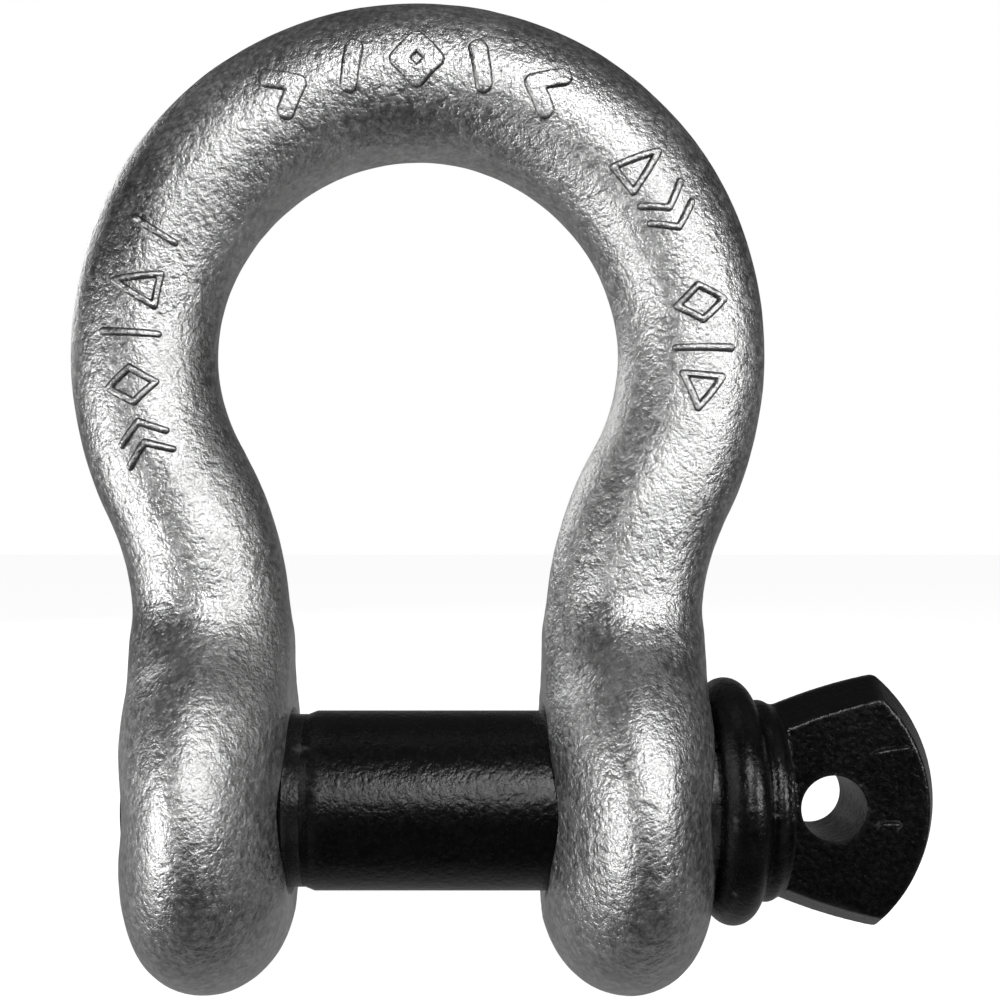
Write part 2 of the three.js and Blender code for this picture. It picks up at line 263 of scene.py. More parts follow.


# %% [markdown]
# A recipe is a node tree with named inputs. `Recipe` holds one being written: it adds
# inputs and nodes, and splits a vector into three terms. `bake` runs a finished recipe on
# a bare object, keeps the result as a plain mesh, scaled to metres when asked, and throws
# the modifier away.


# %% Recipes
class Recipe:
    """A Geometry Nodes tree being written, with named inputs."""

    def __init__(self, name):
        self.tree = bpy.data.node_groups.new(name, "GeometryNodeTree")
        self.start = self.tree.nodes.new("NodeGroupInput")
        self.end = self.tree.nodes.new("NodeGroupOutput")
        self.tree.interface.new_socket("Geometry", in_out="OUTPUT", socket_type="NodeSocketGeometry")

    def takes(self, name, kind="Float"):
        """Adds a named input and returns it."""
        self.tree.interface.new_socket(name, in_out="INPUT", socket_type="NodeSocket" + kind)
        socket = self.start.outputs[name]
        return Term(self.tree, socket) if kind in ("Float", "Int") else socket

    def node(self, kind, inputs=(), **settings):
        node = self.tree.nodes.new(kind)
        for name, value in settings.items():
            setattr(node, name, value)
        for name, value in dict(inputs).items():
            put(self.tree, value, node.inputs[name])
        return node

    def split(self, vector):
        parts = self.node("ShaderNodeSeparateXYZ", {"Vector": vector}).outputs
        return [Term(self.tree, part) for part in parts]

    def vector(self, x, y, z):
        return self.node("ShaderNodeCombineXYZ", {"X": x, "Y": y, "Z": z}).outputs[0]

    def position(self):
        return self.split(self.node("GeometryNodeInputPosition").outputs[0])

    def noise(self, size, seed, detail=2.0):
        """Smooth random numbers about zero, with lumps of the given size."""
        texture = self.node("ShaderNodeTexNoise", noise_dimensions="4D")
        texture.inputs["Scale"].default_value = 1 / size
        texture.inputs["Detail"].default_value = detail
        texture.inputs["W"].default_value = seed
        return Term(self.tree, texture.outputs[0]) - 0.5

    def moved(self, geometry, x, y, z):
        place = self.vector(x, y, z)
        return self.node("GeometryNodeSetPosition", {"Geometry": geometry, "Position": place}).outputs[0]

    def pushed_out(self, geometry, distance):
        """Moves every point along its normal."""
        normal = self.node("GeometryNodeInputNormal").outputs[0]
        by = self.node("ShaderNodeVectorMath", {0: normal}, operation="SCALE")
        put(self.tree, distance, by.inputs["Scale"])
        moved = self.node("GeometryNodeSetPosition", {"Geometry": geometry, "Offset": by.outputs[0]})
        return moved.outputs[0]

    def keeps(self, geometry, name, value, kind="FLOAT"):
        """Writes a value on every point under a name."""
        node = self.node("GeometryNodeStoreNamedAttribute", data_type=kind, domain="POINT")
        put(self.tree, geometry, node.inputs["Geometry"])
        node.inputs["Name"].default_value = name
        put(self.tree, value, node.inputs["Value"])
        return node.outputs[0]

    def kept(self, name, kind="FLOAT"):
        node = self.node("GeometryNodeInputNamedAttribute", data_type=kind)
        node.inputs["Name"].default_value = name
        return node.outputs[0]

    def combined(self, operation, first, *others):
        node = self.node("GeometryNodeMeshBoolean", operation=operation, solver="MANIFOLD")
        if operation == "DIFFERENCE":
            put(self.tree, first, node.inputs["Mesh 1"])
        else:
            others = (first, *others)
        for other in others:
            self.tree.links.new(other, node.inputs["Mesh 2"])
        return node.outputs[0]

    def drawn(self, source):
        """The mesh of an object that is handed in as an input."""
        return self.node("GeometryNodeObjectInfo", {"Object": source}).outputs["Geometry"]

    def finish(self, geometry, material=None):
        """Ends the recipe: shade smooth, realise, set the material."""
        smooth = self.node("GeometryNodeSetShadeSmooth", {"Geometry": geometry}).outputs[0]
        real = self.node("GeometryNodeRealizeInstances", {"Geometry": smooth}).outputs[0]
        final = self.node("GeometryNodeSetMaterial", {"Geometry": real})
        put(self.tree, material, final.inputs["Material"])
        self.tree.links.new(final.outputs[0], self.end.inputs[0])


def bake(recipe, name, values, scale=1.0):
    """Runs a recipe with these inputs and returns a plain mesh object."""
    blank = bpy.data.objects.new(name, bpy.data.meshes.new(name + " blank"))
    bpy.context.scene.collection.objects.link(blank)
    modifier = blank.modifiers.new("recipe", "NODES")
    modifier.node_group = recipe.tree
    for item in recipe.tree.interface.items_tree:
        if item.in_out == "INPUT" and item.name in values:
            modifier[item.identifier] = values[item.name]
    evaluated = blank.evaluated_get(bpy.context.evaluated_depsgraph_get())
    mesh = bpy.data.meshes.new_from_object(evaluated)
    blank.modifiers.remove(modifier)
    blank.data = mesh
    mesh.name = name
    mesh.transform(Matrix.Scale(scale, 4))
    print(f"{name}: {len(mesh.vertices)} points, {len(mesh.polygons)} faces")
    return blank


def drop(*objects):
    """Removes objects that were only tools."""
    for tool in objects:
        bpy.data.objects.remove(tool)


# %% [markdown]
# ## Finishes
# Two effects are used by both finishes, so each is a shader group built once. "Forged
# grain" gives the small lumps that a scaled and coated forging has. "Edge wear and corner
# shade" reads how sharply the mesh bends, and gives one mask for edges, where coating rubs,
# and one for inside corners, where the zinc gets painted shade.

# %% Shader groups
GRAIN_CONTRAST, LUMP_CONTRAST = 3.2, 2.6


class Effect(Recipe):
    """A shader group being written, with named inputs and outputs."""

    def __init__(self, name):
        self.tree = bpy.data.node_groups.new(name, "ShaderNodeTree")
        self.start = self.tree.nodes.new("NodeGroupInput")
        self.end = self.tree.nodes.new("NodeGroupOutput")

    def gives(self, name, value):
        self.tree.interface.new_socket(name, in_out="OUTPUT", socket_type="NodeSocketFloat")
        put(self.tree, value, self.end.inputs[name])

    def kept_value(self, name):
        """A number written on the mesh's points, such as how near a mark's side is."""
        return self.node("ShaderNodeAttribute", attribute_name=name).outputs["Fac"]

    def lumps(self, size, seed, detail=2.0, roughness=0.5):
        """Random numbers from 0 to 1 with lumps of this size in millimetres."""
        place = self.node("ShaderNodeTexCoord").outputs["Object"]
        texture = self.node("ShaderNodeTexNoise", {"Vector": place}, noise_dimensions="4D")
        put(self.tree, Term(self.tree, 1 / MM) / size, texture.inputs["Scale"])
        texture.inputs["W"].default_value = seed
        texture.inputs["Detail"].default_value = detail
        texture.inputs["Roughness"].default_value = roughness
        return Term(self.tree, texture.outputs["Fac"])


def forged_grain():
    e = Effect("forged grain")
    grain, lump = e.takes("Grain size"), e.takes("Lump size")
    share = e.takes("Grain share")
    fine = e.lumps(grain, seed=1.0, detail=3.0, roughness=0.6)
    coarse = e.lumps(lump, seed=5.0)
    e.gives("Height", coarse.to(fine, share))
    e.gives("Grain", ((fine - 0.5) * GRAIN_CONTRAST + 0.5).within(0, 1))
    e.gives("Lumps", ((coarse - 0.5) * LUMP_CONTRAST + 0.5).within(0, 1))
    return e.tree


def edge_wear_and_corner_shade():
    e = Effect("edge wear and corner shade")
    sharpness = e.takes("Sharpness")
    bend = Term(e.tree, e.node("ShaderNodeNewGeometry").outputs["Pointiness"]) - 0.5
    e.gives("Edge", (bend * sharpness).within(0, 1))
    # Corner: the inside corners, which the zinc uses as a mask for painted shade.
    e.gives("Corner", (bend * sharpness * -1).within(0, 1))
    return e.tree


GRAIN, EDGES = forged_grain(), edge_wear_and_corner_shade()
print("groups:", GRAIN.name, "and", EDGES.name)


# %% Writing a finish
class Finish(Effect):
    """A material being written. The shader stays in the material, and groups feed it."""

    def __init__(self, name, **plain):
        self.material = bpy.data.materials.new(name)
        self.material.use_nodes = True
        self.tree = self.material.node_tree
        self.shader = self.tree.nodes["Principled BSDF"]
        for socket, value in plain.items():
            self.shader.inputs[socket.replace("_", " ")].default_value = value

    def group(self, tree, **values):
        node = self.tree.nodes.new("ShaderNodeGroup")
        node.node_tree = tree
        for name, value in values.items():
            node.inputs[name.replace("_", " ")].default_value = value
        return {socket.name: Term(self.tree, socket) for socket in node.outputs}

    def colour(self, low, high, share):
        """A mix of two plain colours."""
        mix = self.node("ShaderNodeMix", data_type="RGBA")
        put(self.tree, share, mix.inputs[0])
        mix.inputs[6].default_value = (*low, 1)
        mix.inputs[7].default_value = (*high, 1)
        return mix.outputs[2]

    def darkened(self, colour, by, dark):
        """A colour mixed with a plain one, by a mask."""
        mix = self.node("ShaderNodeMix", data_type="RGBA")
        put(self.tree, by, mix.inputs[0])
        put(self.tree, colour, mix.inputs[6])
        mix.inputs[7].default_value = (*dark, 1)
        return mix.outputs[2]

    def bump(self, height, depth):
        """The normal of a surface that this height lifts by up to a depth in millimetres."""
        return self.node("ShaderNodeBump", {"Height": height, "Distance": depth * MM}).outputs[0]


# %% [markdown]
# The bow is hot-dip galvanised: dull zinc with a fine, pebbled grain, lighter on the tops
# of the lumps and darker in the hollows. Zinc is a metal, so nearly all its look is
# reflection, and the grain has to tilt the surface, not only tint it. Painted shade darkens
# the steep sides of the raised marks and the inside corners towards near-black.

# %% Hot-dip zinc
ZINC_DULL, ZINC_BRIGHT, ZINC_PAINTED_SHADE = (0.34, 0.34, 0.34), (0.88, 0.88, 0.875), (0.04, 0.04, 0.04)
ZINC_BUMP = 0.42
MARK_SIDE_PAINTED_SHADE, CORNER_PAINTED_SHADE = 0.9, 0.35


def zinc_finish():
    f = Finish("hot-dip zinc", Metallic=1.0)
    grain = f.group(GRAIN, Grain_size=0.7, Lump_size=2.4, Grain_share=0.62)
    patch = f.group(GRAIN, Grain_size=6.0, Lump_size=19.0, Grain_share=0.5)
    edge = f.group(EDGES, Sharpness=6.0)
    # Painted shade: near-black is mixed into the colour on the steep sides of the raised marks and in the
    # inside corners.
    side = Term(f.tree, f.kept_value("side"))
    tone = grain["Grain"] * 0.55 + patch["Grain"] * 0.25 + patch["Lumps"] * 0.2
    colour = f.colour(ZINC_DULL, ZINC_BRIGHT, tone)
    dark = (side * MARK_SIDE_PAINTED_SHADE + edge["Corner"] * CORNER_PAINTED_SHADE).within(0, 1)
    put(f.tree, f.darkened(colour, dark, ZINC_PAINTED_SHADE), f.shader.inputs["Base Color"])
    roughness = 0.29 + patch["Lumps"] * 0.1 + grain["Grain"] * 0.14
    put(f.tree, roughness, f.shader.inputs["Roughness"])
    put(f.tree, f.bump(grain["Height"], ZINC_BUMP), f.shader.inputs["Normal"])
    return f.material


zinc = zinc_finish()
print("finish:", zinc.name, "with", len(zinc.node_tree.nodes), "nodes")

# %% [markdown]
# The pin is black: a thin, slightly glossy coating over a forged and turned surface. It
# shows an orange-peel ripple, a broken bright line where a lamp is mirrored, and a little
# grey where edges have rubbed.

# %% Black coating
COAT_DARK, COAT_LIGHT, COAT_RUBBED = (0.001, 0.001, 0.001), (0.003, 0.003, 0.003), (0.09, 0.09, 0.092)
COAT_BUMP = 0.2
RUBBED_SHARE = 0.8


def black_finish():
    f = Finish("black coating", Metallic=0.0, Specular_IOR_Level=0.38)
    grain = f.group(GRAIN, Grain_size=0.6, Lump_size=1.7, Grain_share=0.55)
    patch = f.group(GRAIN, Grain_size=5.0, Lump_size=14.0, Grain_share=0.5)
    edge = f.group(EDGES, Sharpness=7.0)
    worn = (edge["Edge"] * patch["Grain"] * RUBBED_SHARE).within(0, 1)
    base = f.colour(COAT_DARK, COAT_LIGHT, grain["Grain"])
    put(f.tree, f.darkened(base, worn, COAT_RUBBED), f.shader.inputs["Base Color"])
    roughness = 0.17 + patch["Lumps"] * 0.07 + grain["Grain"] * 0.1
    put(f.tree, roughness, f.shader.inputs["Roughness"])
    put(f.tree, f.bump(grain["Height"], COAT_BUMP), f.shader.inputs["Normal"])
    return f.material


black = black_finish()
print("finish:", black.name, "with", len(black.node_tree.nodes), "nodes")

# %% [markdown]
# ## The bow's bar and ears
# The real bow is a hot round bar, bent, with its ends pressed into ears. Here one sheet of
# points is wrapped round it: every point has a place along the centreline and a direction
# round it, and looks for the skin along that direction. The skin is a formula: the bar is a
# distance from the centreline, an ear is a rounded disc, and a soft minimum of the two fills
# the corner where they meet. The search halves its step each time, in a repeat zone.

# %% Sizes of the bow
BAR, BAR_CROWN, BAR_FOOT = 18.3, 19.2, 19.8
BOW_RADIUS = 34.6
BOW_RISE = 56.2
ARM_OUT = 26.0
ARM_RISE = 21.5
EAR, EAR_THICK = 47.2, 20.0
EAR_SWELL = 1.0
EAR_CROWN, EAR_END = 1.6, 4.0
FORGED_BLEND = 5.0
FACED_TOP = 28.0
NEAR_AXIS = 0.3
GAP = 0.3
EAR_IN = 15.9
EAR_MID = EAR_IN + EAR_THICK / 2
EAR_OUT = EAR_IN + EAR_THICK

arm_above = BOW_RISE - ARM_RISE
BEND_RADIUS = (ARM_OUT**2 + arm_above**2 - BOW_RADIUS**2) / (2 * (BOW_RADIUS - ARM_OUT))
BEND_ANGLE = math.atan2(arm_above, ARM_OUT + BEND_RADIUS)
RING_LENGTH = BOW_RADIUS * (math.pi / 2 + BEND_ANGLE)
BEND_LENGTH = BEND_RADIUS * BEND_ANGLE
print(f"half the bow: ring {RING_LENGTH:.1f} mm, bend {BEND_LENGTH:.1f} mm")


# %% The bow's formulas
def bar_radius(share):
    """The bar thins a little where the bow is widest. Share runs from crown to arm foot."""
    widest, spread = 0.6, 0.25
    off = (share - widest) / spread
    heavy = BAR_CROWN + share * (BAR_FOOT - BAR_CROWN)
    return heavy.to(BAR, (off * off * -1).exp()) / 2


def ear_depth(x, y, z):
    """Below zero inside an ear: a round disc, swelling more from front to back than upright."""
    half = EAR_THICK / 2 + EAR_SWELL
    from_pin = hypotenuse(y, z)
    upright = z / from_pin.at_least(NEAR_AXIS)
    outward = (from_pin / (EAR / 2)) ** (EAR_CROWN + upright * upright * (EAR_END - EAR_CROWN))
    across = (x.abs() - EAR_MID) / half
    return ((outward + across * across).sqrt() - 1) * half


def blended(a, b):
    """The lower of two depths, with the corner between them filled."""
    share = (FORGED_BLEND - (a - b).abs()).at_least(0) / FORGED_BLEND
    return a.at_most(b) - share * share * (FORGED_BLEND / 4)


# %% The bow's skin
EAR_SWEEP = math.acos(-ARM_RISE / (EAR / 2))
EAR_SHARE = 0.9
EAR_LENGTH = EAR / 2 * EAR_SWEEP * EAR_SHARE
HALF_LENGTH = RING_LENGTH + BEND_LENGTH + EAR_LENGTH
SEARCH_STEPS = 22
SKIN_ALONG = 420
SKIN_AROUND = 150
LUMP_HEIGHT = 0.28
BROAD_LUMPS, SMALL_LUMPS, SMALL_SHARE = 9.0, 2.6, 0.35
TINY = 1e-6
SKIN_MERGE = 0.002
print(f"half the skin follows {HALF_LENGTH:.1f} mm of centreline")


def centreline(distance):
    """Centre and outward direction of the right half, at a distance from the crown."""
    turn = distance.at_most(RING_LENGTH) / BOW_RADIUS
    back = (distance - RING_LENGTH).within(0, BEND_LENGTH) / BEND_RADIUS
    on_bend = distance > RING_LENGTH
    tilt = BEND_ANGLE - back
    ring_x, ring_z = turn.sin() * BOW_RADIUS, turn.cos() * BOW_RADIUS + BOW_RISE
    bend_x = tilt.cos() * -BEND_RADIUS + (ARM_OUT + BEND_RADIUS)
    bend_z = tilt.sin() * BEND_RADIUS + ARM_RISE
    return ring_x.to(bend_x, on_bend), ring_z.to(bend_z, on_bend), turn - back


def aimed_sheet(r, along, around):
    """A sheet whose points know where they start, which way they look, and the bar's centre."""
    sheet = r.node("GeometryNodeMeshGrid", {"Vertices X": along, "Vertices Y": around}).outputs[0]
    u, v, _ = r.position()
    distance = u.abs() * 2 * HALF_LENGTH
    side = (u + TINY).sign()
    bow_x, bow_z, facing = centreline(distance)
    ear_share = (distance - RING_LENGTH - BEND_LENGTH).at_least(0) / EAR_LENGTH
    in_ear = distance > RING_LENGTH + BEND_LENGTH
    sweep = EAR_SWEEP * (1 - ear_share)
    ear_z = sweep.cos() * (-EAR / 2)
    ear_x = EAR_MID + smooth_step(ear_z, 0, ARM_RISE) * (ARM_OUT - EAR_MID)
    centre_x, centre_z = bow_x.to(ear_x, in_ear), bow_z.to(ear_z, in_ear)
    radius = bar_radius((distance / (RING_LENGTH + BEND_LENGTH)).at_most(1))

    round_angle = v * (2 * math.pi)
    upper = (sweep.sin() * (EAR / 2)).at_least(radius)
    chord = upper.to(EAR / 2, ear_z < 0)
    wide, deep = Term(r.tree, 1.0).to(EAR_THICK / 2, in_ear), Term(r.tree, 1.0).to(chord, in_ear)
    out, across = wide * round_angle.cos(), deep * round_angle.sin() * -1
    size = hypotenuse(out, across)
    out, across = out / size, across / size
    ray = r.vector(out * facing.sin(), across, out * facing.cos())
    bar = r.vector(centre_x.to(ARM_OUT, in_ear), radius, centre_z.to(ARM_RISE, in_ear))
    sheet = r.keeps(sheet, "ray", ray, "FLOAT_VECTOR")
    sheet = r.keeps(sheet, "middle", r.vector(centre_x, side, centre_z), "FLOAT_VECTOR")
    sheet = r.keeps(sheet, "bar", bar, "FLOAT_VECTOR")
    return r.keeps(sheet, "reach", 0.0)


# %% The search for the skin
def searched(r, sheet):
    """Moves each point out along its ray to the skin, halving its step each time."""
    ray_x, ray_y, ray_z = r.split(r.kept("ray", "FLOAT_VECTOR"))
    middle_x, side, middle_z = r.split(r.kept("middle", "FLOAT_VECTOR"))
    bar_x, radius, bar_z = r.split(r.kept("bar", "FLOAT_VECTOR"))
    reach = Term(r.tree, r.kept("reach"))
    first = r.node("GeometryNodeRepeatInput")
    last = r.node("GeometryNodeRepeatOutput")
    first.pair_with_output(last)
    first.inputs["Iterations"].default_value = SEARCH_STEPS
    r.tree.links.new(sheet, first.inputs["Geometry"])
    step = Term(r.tree, 0.5) ** Term(r.tree, first.outputs["Iteration"]) * (EAR / 2)
    tried = reach + step
    x, y, z = middle_x + ray_x * tried, ray_y * tried, middle_z + ray_z * tried
    from_bar = hypotenuse(hypotenuse(x - bar_x, y), z - bar_z) - radius
    inside = blended(from_bar, ear_depth(x, y, z)) < 0
    stepped_out = r.keeps(first.outputs["Geometry"], "reach", reach + step * inside)
    r.tree.links.new(stepped_out, last.inputs["Geometry"])

    x = middle_x + ray_x * reach
    x = x.to(x.within(EAR_IN, EAR_OUT), middle_z < FACED_TOP) * side
    return r.moved(last.outputs[0], x, ray_y * reach, middle_z + ray_z * reach)


# %% The skin recipe
def skin_recipe():
    """One closed skin over bar and ears."""
    r = Recipe("forged bow skin")
    along, around = r.takes("Points along", "Int"), r.takes("Points around", "Int")
    lumps = r.takes("Lump height")
    skin = searched(r, aimed_sheet(r, along, around))
    skin = r.node("GeometryNodeMergeByDistance", {"Geometry": skin, "Distance": SKIN_MERGE}).outputs[0]
    skin = r.node("GeometryNodeFlipFaces", {"Mesh": skin}).outputs[0]
    rough = r.noise(BROAD_LUMPS, seed=3.0) + r.noise(SMALL_LUMPS, seed=8.0) * SMALL_SHARE
    skin = r.pushed_out(skin, rough * lumps)
    for name in ("ray", "middle", "bar", "reach"):
        skin = r.node("GeometryNodeRemoveAttribute", {"Geometry": skin, "Name": name}).outputs[0]
    r.finish(skin)
    return r


skin_sizes = {"Points along": SKIN_ALONG + 1, "Points around": SKIN_AROUND + 1, "Lump height": LUMP_HEIGHT}
skin = bake(skin_recipe(), "bow skin", skin_sizes)

# %% [markdown]
# ## Raised marks
# Forging dies leave raised marks on the front of the bar. These ones are plain shapes:
# arrowheads, bars, lozenges and triangles. Each is drawn flat first, as strokes placed by
# their distance along the bar from the crown and outwards from its centreline. A recipe
# then lays a thin slab over the bar's front. It raises the slab near the strokes, with
# steep sides, and sinks it below the skin elsewhere, so that only the strokes stand out.

# %% The marks, drawn flat
FAT_HALF = 1.45
THIN_HALF = 0.78
ARROW = [[(-1.5, 2.2), (1.3, 0.0), (-1.5, -2.2)]]
BACK_ARROW = [[(1.5, 2.2), (-1.3, 0.0), (1.5, -2.2)]]
LOZENGE = [[(0.0, 2.3), (-2.2, 0.0), (0.0, -2.3), (2.2, 0.0), (0.0, 2.3)]]
TALL_LOZENGE = [[(0.0, 2.9), (-2.1, 0.0), (0.0, -2.9), (2.1, 0.0), (0.0, 2.9)]]
TWIN_ARROWS = [[(-2.2, 2.8), (-0.2, 0.0), (-2.2, -2.8)], [(0.4, 2.8), (2.4, 0.0), (0.4, -2.8)]]
TRIANGLE = [[(-2.1, -2.6), (0.0, 2.8), (2.1, -2.6), (-2.1, -2.6)]]
WEDGE = [[(-1.8, 2.4), (2.2, 0.0), (-1.8, -2.4), (-1.8, 2.4)]]
BAR_ACROSS = [[(0.0, -3.4), (0.0, 3.4)]]
SLANTED_BAR = [[(-0.4, -2.9), (0.4, 2.9)]]

FAT_MARKS = {-26.5: ARROW, -13.2: [[(-0.8, -2.0), (0.8, 2.0)]], 0.0: LOZENGE,
             13.0: [[(0.8, -2.0), (-0.8, 2.0)]], 26.0: BACK_ARROW}
THIN_MARKS = {-109.0: TWIN_ARROWS, -97.5: TALL_LOZENGE, -87.0: BAR_ACROSS, -77.5: TRIANGLE,
              -66.0: SLANTED_BAR, 51.0: TRIANGLE, 61.5: TWIN_ARROWS, 81.0: TALL_LOZENGE,
              90.0: BAR_ACROSS, 98.5: WEDGE}


def flat_strokes(name, marks):
    """Edges of all strokes, laid flat: x along the bar from the crown, y outwards."""
    points, edges = [], []
    for degrees, strokes in marks.items():
        along = math.radians(degrees) * BOW_RADIUS
        for stroke in strokes:
            start = len(points)
            points += [(along + a, b, 0) for a, b in stroke]
            edges += [(start + i, start + i + 1) for i in range(len(stroke) - 1)]
    mesh = bpy.data.meshes.new(name)
    mesh.from_pydata(points, edges, [])
    strokes = bpy.data.objects.new(name, mesh)
    bpy.context.scene.collection.objects.link(strokes)
    print(name, "hold", len(edges), "stretches")
    return strokes


# %% The recipe that raises them on the bar
MARK_RISE = 0.5
MARK_SINK = 0.4
MARK_DRAFT = 0.6
SLAB_GRID = 0.17
SLAB_WIDTH = 11.0
SLAB_DEPTH = 2.0
SLAB_FROM, SLAB_TO = math.radians(-115) * BOW_RADIUS, math.radians(104) * BOW_RADIUS


def marks_recipe():
    """A slab over the bar's front that stands proud only near the strokes."""
    r = Recipe("raised marks")
    fat, thin = r.takes("Fat strokes", "Object"), r.takes("Thin strokes", "Object")
    rise, draft = r.takes("Rise"), r.takes("Draft")
    long = SLAB_TO - SLAB_FROM
    slab = r.node("GeometryNodeMeshCube", {
        "Size": (long, SLAB_WIDTH, 1),
        "Vertices X": round(long / SLAB_GRID),
        "Vertices Y": round(SLAB_WIDTH / SLAB_GRID),
        "Vertices Z": 2,
    }).outputs[0]
    a, b, top = r.position()
    a = a + (SLAB_FROM + SLAB_TO) / 2
    flat = r.vector(a, b, 0.0)
    raised = None
    for strokes, half in ((fat, FAT_HALF), (thin, THIN_HALF)):
        near = r.node("GeometryNodeProximity", target_element="EDGES")
        put(r.tree, r.drawn(strokes), near.inputs["Geometry"])
        put(r.tree, flat, near.inputs["Sample Position"])
        share = smooth_step((Term(r.tree, near.outputs["Distance"]) - half) * -1, 0, draft)
        raised = share if raised is None else raised.at_least(share)
    height = raised * (rise + MARK_SINK) - MARK_SINK
    on_top = top > 0
    off = raised * 2 - 1
    # The "side" value is highest on the steep sides of the strokes, where the zinc paints shade.
    slab = r.keeps(slab, "side", (1 - off * off * off * off) * on_top)
    radius = bar_radius(a.abs() / (RING_LENGTH + BEND_LENGTH))
    reach = radius + Term(r.tree, -SLAB_DEPTH).to(height, on_top)
    turn, lean = a / BOW_RADIUS, b / radius
    from_centre = lean.sin() * reach + BOW_RADIUS
    x, z = from_centre * turn.sin(), from_centre * turn.cos() + BOW_RISE
    r.finish(r.moved(slab, x, lean.cos() * reach * -1, z))
    return r


fat_strokes = flat_strokes("fat strokes", FAT_MARKS)
thin_strokes = flat_strokes("thin strokes", THIN_MARKS)
marks = bake(marks_recipe(), "marks", {
    "Fat strokes": fat_strokes, "Thin strokes": thin_strokes, "Rise": MARK_RISE, "Draft": MARK_DRAFT})
drop(fat_strokes, thin_strokes)

# %% [markdown]
# ## Turned shapes and threads
# The pin and both holes are turned: an outline swept round the X axis. The thread is also
# a rule: a ridge whose place moves on by one pitch with each turn. One recipe makes it for
# the pin, and again a little larger to cut the tapped hole.

# %% Turning an outline
DOUBLED = 1e-5


def closed_mesh(name, work):
    """A mesh object from a bmesh, with doubled points merged and faces turned outwards."""
    bmesh.ops.remove_doubles(work, verts=work.verts, dist=DOUBLED)
    bmesh.ops.recalc_face_normals(work, faces=work.faces)
    mesh = bpy.data.meshes.new(name)
    work.to_mesh(mesh)
    work.free()
    made = bpy.data.objects.new(name, mesh)
    bpy.context.scene.collection.objects.link(made)
    return made


def stepped(outline, step=1.0):
    """The same outline with extra points on its long stretches, so that wear stays at the edges."""
    points = outline[:1]
    for (x, radius), (next_x, next_radius) in zip(outline, outline[1:]):
        parts = max(1, math.ceil(math.hypot(next_x - x, next_radius - radius) / step))
        for i in range(1, parts + 1):
            points.append((x + (next_x - x) * i / parts, radius + (next_radius - radius) * i / parts))
    return points


def turned(name, outline, sides=144):
    """Sweeps [x, radius] points round the X axis. The outline starts and ends on the axis."""
    work = bmesh.new()
    points = [work.verts.new((x, radius, 0)) for x, radius in stepped(outline)]
    edges = [work.edges.new(pair) for pair in zip(points, points[1:])]
    bmesh.ops.spin(work, geom=points + edges, cent=(0, 0, 0), axis=(1, 0, 0),
                   angle=2 * math.pi, steps=sides, use_merge=True)
    return closed_mesh(name, work)


def arc(x, radius, wide, high, start, end, steps=16):
    """Outline points on an arc about [x, radius], in degrees."""
    angles = [math.radians(start + (end - start) * i / steps) for i in range(steps + 1)]
    return [(x + wide * math.cos(angle), radius + high * math.sin(angle)) for angle in angles]


# %% The thread recipe
PITCH = 25.4 / 9
FLANK = math.tan(math.radians(30))
THREAD_ALONG, THREAD_AROUND = 150, 121
LAST_ROW = 0.4999
ROD_MERGE = 0.001


def thread_recipe():
    """A rod with a right-hand ridge, whose crest passes through +Y at x = 0."""
    r = Recipe("threaded rod")
    start, end = r.takes("Start"), r.takes("End")
    root, crest = r.takes("Root radius"), r.takes("Crest radius")
    crest_half, chamfer, fade = r.takes("Crest half width"), r.takes("Chamfer"), r.takes("Fade length")
    along, around = r.takes("Points along", "Int"), r.takes("Points around", "Int")
    rod = r.node("GeometryNodeMeshGrid", {"Vertices X": along, "Vertices Y": around}).outputs[0]
    u, v, _ = r.position()
    cap = u.abs() > LAST_ROW
    inner = (u * (1 + Term(r.tree, 2.0) / (along - 3))).within(-0.5, 0.5) + 0.5
    x = start + (end - start) * inner
    turn = v + 0.5
    phase = x / PITCH - turn
    off = ((phase - (phase + 0.5).floor()) * PITCH).abs()
    ridge = ((crest_half + (crest - root) * FLANK - off) / ((crest - root) * FLANK)).within(0, 1)
    grown = ((x - start - chamfer) / fade).at_most((end - x) / fade).within(0, 1)
    radius = root + (crest - root) * ridge * grown
    radius = radius.at_most(root - chamfer + (x - start)) * (1 - cap)
    angle = turn * (2 * math.pi)
    rod = r.moved(rod, x, radius * angle.cos(), radius * angle.sin())
    rod = r.node("GeometryNodeMergeByDistance", {"Geometry": rod, "Distance": ROD_MERGE}).outputs[0]
    r.finish(rod)
    return r


threads = thread_recipe()
print(f"thread recipe: {PITCH:.3f} mm pitch")

# %% Holes in the ears
PIN_HOLE, HOLE_MOUTH = 23.2, 0.9
TAPPED_CREST, TAPPED_ROOT = 20.0, 22.8
GROOVE_FLOOR_HALF, GROOVE_OVERLAP, GROOVE_FADE = 0.31, 0.3, 0.5
SINK = 1.7
PAST = 2.0


def plain_hole():
    """The right ear's clearance hole, with a rounded mouth at each face."""
    radius, mouth = PIN_HOLE / 2, HOLE_MOUTH
    inner = arc(EAR_IN + mouth, radius + mouth, mouth, mouth, 180, 270, 8)
    outer = arc(EAR_OUT - mouth, radius + mouth, mouth, mouth, 270, 360, 8)
    inside, outside = (EAR_IN - PAST, radius + mouth), (EAR_OUT + PAST, radius + mouth)
    return turned("plain hole", [(inside[0], 0), inside, *inner, *outer, outside, (outside[0], 0)])


def tapped_hole():
    """The countersunk bore of the left ear. Its groove is cut separately."""
    radius = TAPPED_CREST / 2
    return turned("tapped bore", [
        (-EAR_OUT - PAST, 0), (-EAR_OUT - PAST, radius + SINK + PAST), (-EAR_OUT + SINK, radius),
        (-EAR_IN - SINK, radius), (-EAR_IN + PAST, radius + SINK + PAST), (-EAR_IN + PAST, 0)])


